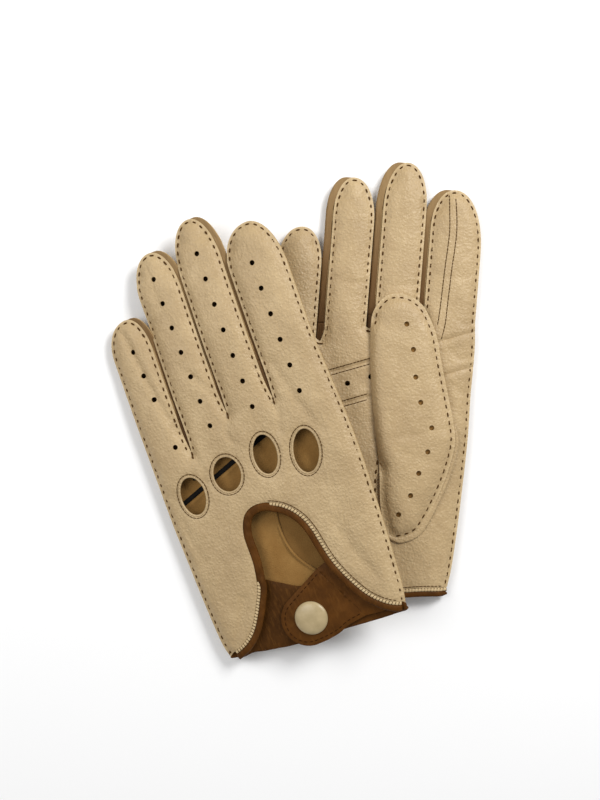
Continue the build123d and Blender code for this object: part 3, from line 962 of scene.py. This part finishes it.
def fourchette(name, side, part, grid, nodes=()):
    """A thin closed strip of leather from a grid of flat points."""
    rows, cols = grid.shape[:2]
    g = grid.reshape(-1, 3)
    n = np.cross(np.gradient(grid, axis=1), np.gradient(grid, axis=0)).reshape(-1, 3)
    n /= np.maximum(np.linalg.norm(n, axis=1, keepdims=True), 1e-9)
    flat = np.vstack([g, g - n * WALL_THICK])
    count = len(g)
    faces = []
    for r in range(rows - 1):
        for a in range(r * cols, r * cols + cols - 1):
            face = (a, a + 1, a + cols + 1, a + cols)
            faces += [face, tuple(i + count for i in face[::-1])]
    slots = [0] * len(faces)
    ring = list(range(cols))
    ring += [r * cols + cols - 1 for r in range(1, rows)]
    ring += [(rows - 1) * cols + c for c in range(cols - 2, -1, -1)]
    ring += [r * cols for r in range(rows - 2, 0, -1)]
    faces += [(b, a, a + count, b + count) for a, b in zip(ring, ring[1:] + ring[:1])]
    slots += [1] * len(ring)
    name += "_fourchette"
    piece(name, side, part, faces, flat, [FOURCHETTE, EDGE], "cream_leather", nodes, face_slots=slots)


def side_wall(side, name, sign):
    """Fourchette wall on the left (-1) or right (1) side of a finger, from its join line to the tip."""
    start = JOIN[name]
    lines = {}
    for kind in ("back", "palm"):
        band = EDGES[(side, kind)]["bands"][name]
        line = tip_line(band, start)
        half = line[(line[:, 0] - band[2]) * sign >= 0]
        lines[kind] = resample(half[np.argsort(half[:, 1])], 1.5)
    count = min(len(line) for line in lines.values())
    lines = {kind: spread(line, count) for kind, line in lines.items()}
    y = lines["back"][:, 1]
    bow = -sign * WALL_BOW * np.clip(np.minimum(y - start, band[3] - y) / 12, 0, 1)
    grid = wall_grid(side, lines, bow)
    label = "left" if sign < 0 else "right"
    fourchette(name + "_" + label, side, name, grid[:, ::-1] if sign < 0 else grid, [name + "_sides"])


def fork_walls(side):
    """Fourchette webs between the finger roots, fixed to the hand."""
    for i in range(3):
        lines = {}
        for kind in ("back", "palm"):
            near, far = EDGES[(side, kind)]["notches"][i]
            lines[kind] = spread(np.vstack([near, far[::-1][1:]]), 33)
        fourchette("fork_" + str(i + 1), side, "hand", wall_grid(side, lines, 0.0)[:, ::-1])


# ---------------------------------------------------------------- seam stitching
# Fine dashes along the bindings, and machine stitches along the palm band and the index finger.
FINE_PITCH = 2.0
FINE_LINE = {"inset": 0.0, "pitch": FINE_PITCH, "lift": 0.06, "gap": 0.0, "wobble": 0.0}
FINE_STITCH = (0.95, 0.25, 0.2)
MACHINE_LINE = {"inset": 0.0, "pitch": 1.9, "lift": 0.08, "wobble": 0.0}
MACHINE_STITCH = (0.95, 0.26, 0.2)


def run_dashes(side, kind, line, inset, pitch=STITCH_PITCH, lift=0.18, gap=1.1, spare=0.3, wobble=0.06):
    """Dash places along a line, moved to its left-hand side by the inset."""
    dense = resample(line, 0.7)
    path = dense + normals(dense) * inset
    places = np.arange(pitch / 2 + spare, distance(path)[-1] - spare, pitch)
    if len(places) == 0:
        return []
    points = at_distance(path, places)
    h, d = height(side, kind, points)
    dashes = []
    for (x, y), z, turn, room in zip(points, z_of(kind, h + lift), headings(path, places), d):
        if room >= gap:
            turn += random.uniform(-wobble, wobble)
            dashes.append((x, y, z, turn, random.uniform(0.9, 1.12)))
    return dashes


def seam_thread(side, kind):
    """Running stitches along every sewn edge of one face."""
    e = EDGES[(side, kind)]
    runs = [(e["left"], -1), (e["right"], 1)]
    for near, far in e["notches"]:
        runs += [(near, -1), (far, 1)]
    hand = []
    for line, sign in runs:
        hand += run_dashes(side, kind, line, sign * STITCH_INSET)
    for x, y in e["forks"]:
        tack = [(x - 2.2, y - 1.6), (x + 2.2, y - 1.6)] if kind == "palm" else [(x, y + 0.6), (x, y - 3.2)]
        hand += run_dashes(side, kind, tack, 0.0, 2.0, gap=0.4)
    if kind == "palm":
        hand += run_dashes(side, kind, [(10.9, 6.0), (10.2, -4.0), (10.8, -15.0)], 0.0, 5.0)
    stitches("hand_" + LABEL[kind], side, "hand", hand, THREAD)
    for name in NAMES:
        dashes = run_dashes(side, kind, tip_line(e["bands"][name], JOIN[name]), -STITCH_INSET)
        stitches(name + "_" + LABEL[kind], side, name, dashes, THREAD)


# ---------------------------------------------------------------- bindings and rims
BEAD = 1.8
WHIP_PITCH = 1.7
BROWN_WIDTH = 4.5
BROWN_BESIDE_BEAD = 3.4
# The cream strip grows in over a short run: going down the little finger's side of the keyhole, and
# going right along its thumb side.
KEYHOLE_TURN_X = -3.0
BEAD_BELOW_Y, BEAD_RIGHT_X, BEAD_GROWS = -24.0, 1.0, 7.0
WHIP_STEP = 0.34
WHIP_PUFF, WHIP_RISE = 0.16, 0.56
WHIP_TURN = math.pi / 2 - 0.3
RIM_INSET, RIM_STITCH_OUT = 0.1, 1.1
KNUCKLE_STITCH = (0.95, 0.24, 0.2)
WHIP_STITCH = (1.0, 0.24, 0.26)


def from_ends(line):
    """How many points away each point of a line is from its nearer end."""
    steps = np.arange(len(line))
    return np.minimum(steps, steps[::-1])


def tapered(line, start, run):
    """Width of a strip that closes to a point at both ends."""
    return np.sqrt(np.clip((from_ends(line) + start) / run, 0, 1))


def dash_row(path, places, z):
    """Even dashes at the given distances along a path, at the given heights."""
    turns = headings(path, places)
    return [(x, y, h, turn, 1.0) for (x, y), h, turn in zip(at_distance(path, places), z, turns)]


def keyhole_binding(side):
    """Rolled brown binding, with the whip-stitched cream strip on its two lower sides."""
    edge = smooth(KEYHOLE, 1.0)
    n = normals(edge)
    x, y = edge.T
    left = x < KEYHOLE_TURN_X
    share = np.clip(np.where(left, BEAD_BELOW_Y - y, x - BEAD_RIGHT_X) / BEAD_GROWS, 0, 1)
    share = share * share * (3 - 2 * share)
    width = BROWN_WIDTH + share * (BROWN_BESIDE_BEAD - BROWN_WIDTH)
    centre = edge - n * (share * BEAD + width / 2)[:, None]
    z = outer_z(side, "back", edge, -0.75)
    keep = slice(2, -1)
    strip("back_binding_roll", side, "hand", centre[keep], z[keep], (1.0, 1.0, 1.15, 14), BROWN,
          "brown_leather", ["back_binding"], scale=(width / 2)[keep])
    steps = np.arange(len(edge))
    line = (edge + n * 0.9)[(steps >= 4) & (steps < len(edge) - 4) & (share > 0.2) & (x > 0)]
    dashes = run_dashes(side, "back", line, **FINE_LINE)
    stitches("keyhole_line", side, "hand", dashes, FINE_THREAD, FINE_STITCH)
    beaded = (steps >= 3) & (steps < len(edge) - 1) & (share > 0.35)
    for number, run in enumerate((beaded & left, beaded & ~left)):
        line = edge[run] - n[run] * (BEAD / 2)
        whip_strip(side, "keyhole_bead_" + str(number + 1), line, z[run] + 0.1)


def whip_strip(side, name, line, z, above=1):
    """A cream strip pinched into beads by brown whip stitches, above or below its line."""
    length = distance(line)
    dense = np.arange(0, length[-1], WHIP_STEP)
    puff = np.abs(np.sin(dense * math.pi / WHIP_PITCH)) ** 0.6
    heights = np.interp(dense, length, z) + above * WHIP_PUFF * puff
    strip(name, side, "hand", at_distance(line, dense), heights, (0.86, 0.8, 0.65, 10), RIM, "cream_leather",
          scale=1.0 + 0.10 * puff)
    places = np.arange(WHIP_PITCH, length[-1] - 1.0, WHIP_PITCH)
    heights = np.interp(places, length, z) + above * WHIP_RISE
    ticks = []
    for x, y, h, turn, long in dash_row(line, places, heights):
        ticks.append((x, y, h, turn + WHIP_TURN + random.uniform(-0.08, 0.08), long))
    stitches(name, side, "hand", ticks, THREAD, WHIP_STITCH)


def palm_hem_binding(side):
    """Whip-stitched strip and brown binding along the palm hem."""
    line = palm_hem(side, 1.0)
    n = normals(line)
    z = outer_z(side, "palm", line, -0.5)
    whip_strip(side, "hem_bead", line - n * 1.1, z, -1)
    taper = tapered(line, 0.4, 3.0)
    for label, out, down, profile, nodes in (
        ("roll", 3.4, 0.1, (1.45, 0.9, 0.9, 14), ["palm_binding"]),
        ("inner", 1.4, 0.75, (2.3, 0.3, 0.35, 10), []),
    ):
        strip("palm_binding_" + label, side, "hand", line - n * out, z + down, profile, BROWN,
              "brown_leather", nodes, scale=taper)
    dashes = run_dashes(side, "palm", (line + n * 0.8)[3:-3], **FINE_LINE)
    stitches("hem_line", side, "hand", dashes, FINE_THREAD, FINE_STITCH)


def knuckle_rims(side):
    """Turned rims and their fine stitching round the knuckle openings."""
    dashes = []
    for number, (x, y, a, b, lean) in enumerate(KNUCKLES):
        ring = ellipse(x, y, a - RIM_INSET, b - RIM_INSET, lean, 72)
        strip("knuckle_rim_" + str(number + 1), side, "hand", ring, outer_z(side, "back", ring, -0.25),
              (0.62, 0.7, 0.45, 10), CREAM, "cream_leather", closed=True)
        outer = ellipse(x, y, a + RIM_STITCH_OUT, b + RIM_STITCH_OUT, lean, 200)
        outer = np.vstack([outer, outer[:1]])
        places = np.arange(0, distance(outer)[-1] - 1, FINE_PITCH)
        dashes += dash_row(outer, places, outer_z(side, "back", at_distance(outer, places), 0.08))
    stitches("knuckle", side, "hand", dashes, FINE_THREAD, KNUCKLE_STITCH)


# ---------------------------------------------------------------- wrist closure
FLAP = [
    (-45.6, -61.6), (-40.7, -64.2), (-34.7, -63.4), (-27.9, -64.4), (-19.7, -65.2), (-13.0, -65.9),
    (2.0, -66.0), (16.0, -63.8), (16.0, -43.0), (0.8, -36.5), (-3.8, -34.1), (-9.6, -30.9),
    (-16.8, -27.4), (-19.6, -32.0), (-24.0, -41.0), (-30.5, -50.0), (-38.6, -56.6),
]
SNAP = (3.3, -54.4)
SNAP_HOLE_R = 2.6
STRAP_TIP, STRAP_RADIUS = (0.5, -54.8), 14.1
STRAP_STITCH_INSET, STRAP_STITCH_PITCH = 2.3, 3.0
STRAP_STITCH = (1.0, 0.22, 0.18)
FLAP_Z = (1.6, 2.75)
STRAP_LAYER = {"z": (3.2, 4.7), "soft_edge": 0.55, "crown": 0.25, "materials": STRAP_MATERIALS}
ROOT_GAP = 0.12
CAP_PROFILE = [
    (7.6, 4.6), (8.6, 4.75), (8.9, 5.1), (8.85, 5.5), (8.45, 5.95), (7.6, 6.45), (6.2, 6.95), (4.2, 7.3),
    (2.0, 7.48),
]
CAP_FLOOR, CAP_TOP = 4.6, 7.52
CAP_AROUND = 72


def flat_plate(name, side, part, node, outline, z, materials, soft_edge, crown=0.0, holes=(), soft=None):
    """A brown plate whose edges are softened, all round or only along the soft line."""
    verts, faces = triangulate(outline, holes, step=1.6)
    d = nearest(verts, outline if soft is None else soft)
    drop = soft_edge * np.exp(-d / (soft_edge * 0.9))
    lump = np.array([noise.noise(Vector((x * 0.09, y * 0.09, 5))) for x, y in verts]) * 0.25
    top = z[1] - drop + crown * (1 - np.exp(-d / 6)) + lump * np.clip(d / 4, 0, 1)
    low = z[0] + drop * 0.5
    name += "_leather"
    thick_sheet(name, side, part, verts, faces, top, low, materials, "brown_leather", [node], d)
    return verts, top


def strap_outline(inset=0.0):
    """Outline of the strap, from its root round the tip."""
    angles = np.linspace(math.radians(120), math.radians(272), 44)
    arc = STRAP_TIP + (STRAP_RADIUS - inset) * np.stack([np.cos(angles), np.sin(angles)], axis=1)
    upper = resample([(ROOT_TOP[0], ROOT_TOP[1] - inset), arc[0]], 1.2)
    low = [(x, y + inset) for x, y in ((7.5, -68.2), (14.7, -66.6), (21.4, -63.9), ROOT_BOTTOM)]
    lower = smooth([arc[-1], *low], 1.2)
    return np.vstack([upper, arc[1:], lower[1:]])


def strap(side):
    """The strap, its sewn end and the line of stitches along its edge."""
    body = strap_outline()
    root = resample([ROOT_BOTTOM, ROOT_TOP], 1.4)
    outline = np.vstack([body, root[1:-1]])
    holes = [ellipse(*SNAP, SNAP_HOLE_R, SNAP_HOLE_R, count=20)]
    more = {"holes": holes, "soft": body, **STRAP_LAYER}
    verts, top = flat_plate("strap", side, "strap_fold", "strap", outline, **more)
    line = strap_outline(STRAP_STITCH_INSET)
    places = np.arange(1.6, distance(line)[-1] - 1, STRAP_STITCH_PITCH)
    z = [top[np.argmin(((verts - point) ** 2).sum(axis=1))] + 0.03 for point in at_distance(line, places)]
    stitches("strap", side, "strap_fold", dash_row(line, places, z), STRAP_THREAD, STRAP_STITCH)
    (top_x, top_y), (low_x, low_y) = ROOT_TOP, ROOT_BOTTOM
    corners = [(low_x + ROOT_GAP, low_y), (top_x + ROOT_GAP, top_y)]
    low_edge = resample([corners[0], (41.5, -62.4), (47.0, -61.0)], 1.4)
    far_edge = resample([(47.0, -61.0), (35.0, -45.5), (25.6, -26.8), corners[1]], 1.4)
    outline = np.vstack([low_edge[:-1], far_edge[:-1], resample(corners[::-1], 1.4)[:-1]])
    soft = np.vstack([low_edge, far_edge])
    flat_plate("strap_end", side, "hand", "strap_base", outline, soft=soft, **STRAP_LAYER)


def snap_cap(side):
    """The press stud's domed cap."""
    around = np.linspace(0, 2 * math.pi, CAP_AROUND, endpoint=False)
    flat = [(SNAP[0] + r * math.cos(a), SNAP[1] + r * math.sin(a), z) for r, z in CAP_PROFILE for a in around]
    rings = len(CAP_PROFILE)
    faces = tube_faces(rings, CAP_AROUND)[:-2]
    centre = len(flat)
    flat = np.array(flat + [(*SNAP, CAP_FLOOR), (*SNAP, CAP_TOP)])
    for k in range(CAP_AROUND):
        q = (k + 1) % CAP_AROUND
        last = (rings - 1) * CAP_AROUND
        faces += [(centre, q, k), (centre + 1, last + k, last + q)]
    piece("snap_cap_dome", side, "strap", faces, flat, [CAP], "cap_lacquer", ["snap_cap"])


def closure(side):
    """Under-flap, strap and the press stud."""
    flap = smooth(FLAP + [FLAP[0]], 1.4)[:-1]
    flat_plate("under_flap", side, "hand", "under_flap", flap, FLAP_Z, [BROWN_DARK, SUEDE, BROWN], 0.4)
    strap(side)
    snap_cap(side)
    for node in ("snap_stud", "snap_socket"):
        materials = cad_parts[side + "_" + node].data.materials
        materials.clear()
        materials.append(BRASS)


# ---------------------------------------------------------------- thumb
THUMB = [
    (25.4, -37.1), (20.6, -35.6), (17.5, -30.8), (13.9, -18.8), (11.9, -0.4), (9.1, 15.3), (5.3, 36.3),
    (2.6, 57.3), (1.4, 78.5), (3.6, 86.8), (8.6, 92.4), (15.1, 94.2), (21.6, 93.0), (26.6, 90.0),
    (30.5, 85.6), (36.2, 74.5), (40.1, 60.3), (44.5, 44.7), (48.3, 31.1), (50.6, 21.4), (50.7, 13.3),
    (48.0, -0.2), (43.3, -14.9), (37.0, -29.2), (32.1, -34.4),
]
THUMB_HOLES = [
    (20.1, 77.9), (24.6, 64.7), (27.0, 50.2), (30.7, 37.0), (37.6, 24.0), (36.5, 11.1), (32.6, -0.6),
    (29.3, -12.8), (23.8, -23.4),
]
THUMB_GAP = 0.4
THUMB_CROWN = 6.4
THUMB_THINNEST = 0.9
THUMB_SEAM_START = (1.6, 76.0)
THUMB_STITCH_INSET = 2.3


def thumb_height(pts, ring):
    """Height of the thumb above the palm at flat points: a fold on its left, a seam round the rest."""
    x, y = pts.T
    on_fold = (ring[:, 0] < 15) & (ring[:, 1] < 80) & (ring[:, 1] > 0)
    d_fold = nearest(pts, ring[on_fold])
    d_sewn = nearest(pts, ring[~on_fold])
    h = np.full(len(pts), THUMB_CROWN)
    h -= 4.9 * np.exp(-d_fold / 2.2)
    h -= 3.6 * np.exp(-np.maximum(d_sewn - 1.8, 0) / 3.4)
    h -= 1.5 / (1 + np.exp((y + 12) / 7))
    h -= 0.28 * groove(d_sewn - 2.4, 0.6)
    h += pucker(y, d_sewn, 3.6)
    h += wrinkle(x, y, SEEDS["thumb"]) * np.clip(np.minimum(d_fold, d_sewn) / 6, 0.1, 1)
    upper = groove(y - 20 - 0.25 * (x - 30), 1.6)
    lower = groove(y - 8 + 0.2 * (x - 30), 1.4)
    h -= 0.35 * (upper + 0.7 * lower)
    return np.maximum(h, THUMB_THINNEST), d_sewn


def thumb_leather(side, ring):
    """The puffy outside of the thumb and the leather that lies on the palm."""
    floor = -THUMB_GAP
    verts, faces = triangulate(ring, [small_hole(x, y) for x, y in THUMB_HOLES], step=1.6)
    h, d_sewn = thumb_height(verts, ring)
    z_in = np.minimum(floor - h + LEATHER, floor - 0.05)
    thick_sheet("thumb_outer_leather", side, "thumb", verts, faces, floor - h, z_in, SHEET_MATERIALS,
                "cream_leather", ["thumb_front", "thumb_pad"], d_sewn)
    verts, faces = triangulate(ring, step=2.2)
    h, _ = thumb_height(verts, ring)
    z_in = np.minimum(floor - 0.7, floor - h + LEATHER + 0.6)
    thick_sheet("thumb_inner_leather", side, "thumb", verts, faces, np.full(len(verts), floor), z_in,
                SHEET_MATERIALS, "cream_leather", ["thumb_back"])


def thumb(side):
    """Puffy thumb lying on the palm, with its stitches and welt."""
    ring = smooth(THUMB + [THUMB[0]], 1.2)[:-1]
    thumb_leather(side, ring)
    closed = np.vstack([ring, ring[:1]])
    start = int(np.argmin(np.linalg.norm(closed - THUMB_SEAM_START, axis=1)))
    line = resample(closed[start:], 0.7)
    path = line - normals(line) * THUMB_STITCH_INSET
    places = np.arange(1.5, distance(path)[-1], STITCH_PITCH)
    z = -THUMB_GAP - thumb_height(at_distance(path, places), ring)[0] - 0.12
    dashes = [(*dash[:4], random.uniform(0.9, 1.1)) for dash in dash_row(path, places, z)]
    stitches("thumb", side, "thumb", dashes, THREAD)
    low = ring[(ring[:, 0] > 19) & (ring[:, 1] < 27)]
    start = int(np.argmax(low[:, 1]))
    low = resample(np.vstack([low[start:], low[:start]]), 1.2)
    z = np.full(len(low), -THUMB_GAP - 1.0)
    strip("thumb_welt", side, "thumb", low + normals(low) * 0.5, z, (1.7, 0.6, 0.6, 10), CREAM,
          "cream_leather", scale=tapered(low, 0.3, 8))


# ---------------------------------------------------------------- palm lines, tape and inner seam
INDEX_LINES = (
    [
        (37.1, 79.0), (37.9, 90.0), (38.7, 110.0), (39.3, 120.0), (39.6, 130.0), (38.9, 140.0), (38.2, 149.0),
    ],
    [
        (39.7, 71.5), (41.1, 80.0), (41.6, 90.0), (42.4, 110.0), (43.1, 120.0), (43.4, 130.0), (42.6, 140.0),
        (41.5, 148.5),
    ],
)
INNER_SEAM = [
    (4.6, 8.0), (3.4, 3.2), (2.7, -3.2), (2.7, -8.7), (3.4, -14.3), (5.3, -20.3), (8.7, -26.1), (13.4, -32.0),
]
TAPE_AT, ELASTIC_Y = (-3.0, 38.9), -54.0


def fine_lines(side):
    """Machine-stitched lines beside the palm band and along the index finger."""
    hand, index = [], []
    for edge in (-BAND_HALF, BAND_HALF):
        for offset in (edge - 1.5, edge + 1.5):
            hand += run_dashes(side, "palm", band_line(offset, -46, 3.5), gap=3.0, **MACHINE_LINE)
    for line in INDEX_LINES:
        for dash in run_dashes(side, "palm", smooth(line), gap=1.2, **MACHINE_LINE):
            (index if dash[1] > JOIN["index"] else hand).append(dash)
    stitches("palm_band", side, "hand", hand, FINE_THREAD, MACHINE_STITCH)
    stitches("index_line", side, "index", index, FINE_THREAD, MACHINE_STITCH)


def inner_details(side):
    """Tape, elastic and the thumb seam ridge inside the hand."""
    x = np.linspace(-46, 42, 60)
    tape = np.column_stack([x, TAPE_AT[1] + math.tan(BAND_SLOPE) * (x - TAPE_AT[0])])
    x = np.linspace(-44, 47, 50)
    elastic = np.column_stack([x, np.full(len(x), ELASTIC_Y)])
    for name, line, lift, profile, material, slot, nodes in (
        ("palm_tape_strip", tape, 0.35, (1.25, 0.2, 0.25, 8), TAPE, "black_tape", ["palm_tape"]),
        ("wrist_elastic_strip", elastic, 0.3, (3.0, 0.2, 0.25, 8), TAPE, "black_tape", ["wrist_elastic"]),
        ("inner_thumb_seam", smooth(INNER_SEAM, 1.0), 0.2, (0.9, 0.4, 0.7, 8), SUEDE, None, []),
    ):
        z = outer_z(side, "palm", line, -LEATHER - lift)
        strip(name, side, "hand", line, z, profile, material, slot, nodes)


for side in ("left", "right"):
    for kind, build_hand in (("back", hand_back), ("palm", hand_palm)):
        build_hand(side)
        for name in NAMES:
            finger_panel(side, kind, name)
        seam_thread(side, kind)
    for name in NAMES:
        if name != "little":
            side_wall(side, name, -1)
        if name != "index":
            side_wall(side, name, 1)
    for build in (fork_walls, keyhole_binding, palm_hem_binding, knuckle_rims):
        build(side)
    for build in (closure, thumb, fine_lines, inner_details):
        build(side)


# ---------------------------------------------------------------- stage, light and camera
FLOOR_TONE = (0.93, 0.93, 0.93, 1)
SKY_STRENGTH = 0.36
CAMERA_AT, CAMERA_ANGLE = (0.0028, 0.0043, 0.597), 40
# Place, size and power of each lamp; all aim at the middle of the floor.
LAMPS = {"key": ((0.50, 0.50, 0.66), 0.34, 7.6), "fill": ((-0.55, 0.15, 0.80), 0.6, 4.2)}


def link(name, data, place):
    """A new object of the scene at a place."""
    obj = bpy.data.objects.new(name, data)
    obj.location = place
    bpy.context.scene.collection.objects.link(obj)
    return obj


def stage():
    """Pale floor, soft studio light and the camera looking straight down."""
    mat = bpy.data.materials.new("floor")
    mat.use_nodes = True
    shade = mat.node_tree.nodes["Principled BSDF"].inputs
    shade["Base Color"].default_value = FLOOR_TONE
    shade["Roughness"].default_value = 0.9
    bpy.ops.mesh.primitive_plane_add(size=6, location=(0, 0, -0.0005))
    floor = bpy.context.object
    floor.name = "floor"
    floor.data.materials.append(mat)
    scene = bpy.context.scene
    scene.world = bpy.data.worlds.new("soft_sky")
    scene.world.use_nodes = True
    sky = scene.world.node_tree.nodes["Background"].inputs
    sky["Color"].default_value = (1, 1, 1, 1)
    sky["Strength"].default_value = SKY_STRENGTH
    for name, (place, size, power) in LAMPS.items():
        lamp = bpy.data.lights.new(name, "AREA")
        lamp.energy = power
        lamp.size = size
        obj = link(name, lamp, place)
        obj.rotation_euler = (-Vector(place)).to_track_quat("-Z", "Y").to_euler()
    cam = bpy.data.cameras.new("camera")
    cam.sensor_fit = "VERTICAL"
    cam.angle = math.radians(CAMERA_ANGLE)
    scene.camera = link("camera", cam, CAMERA_AT)
    scene.view_settings.view_transform = "Standard"


stage()
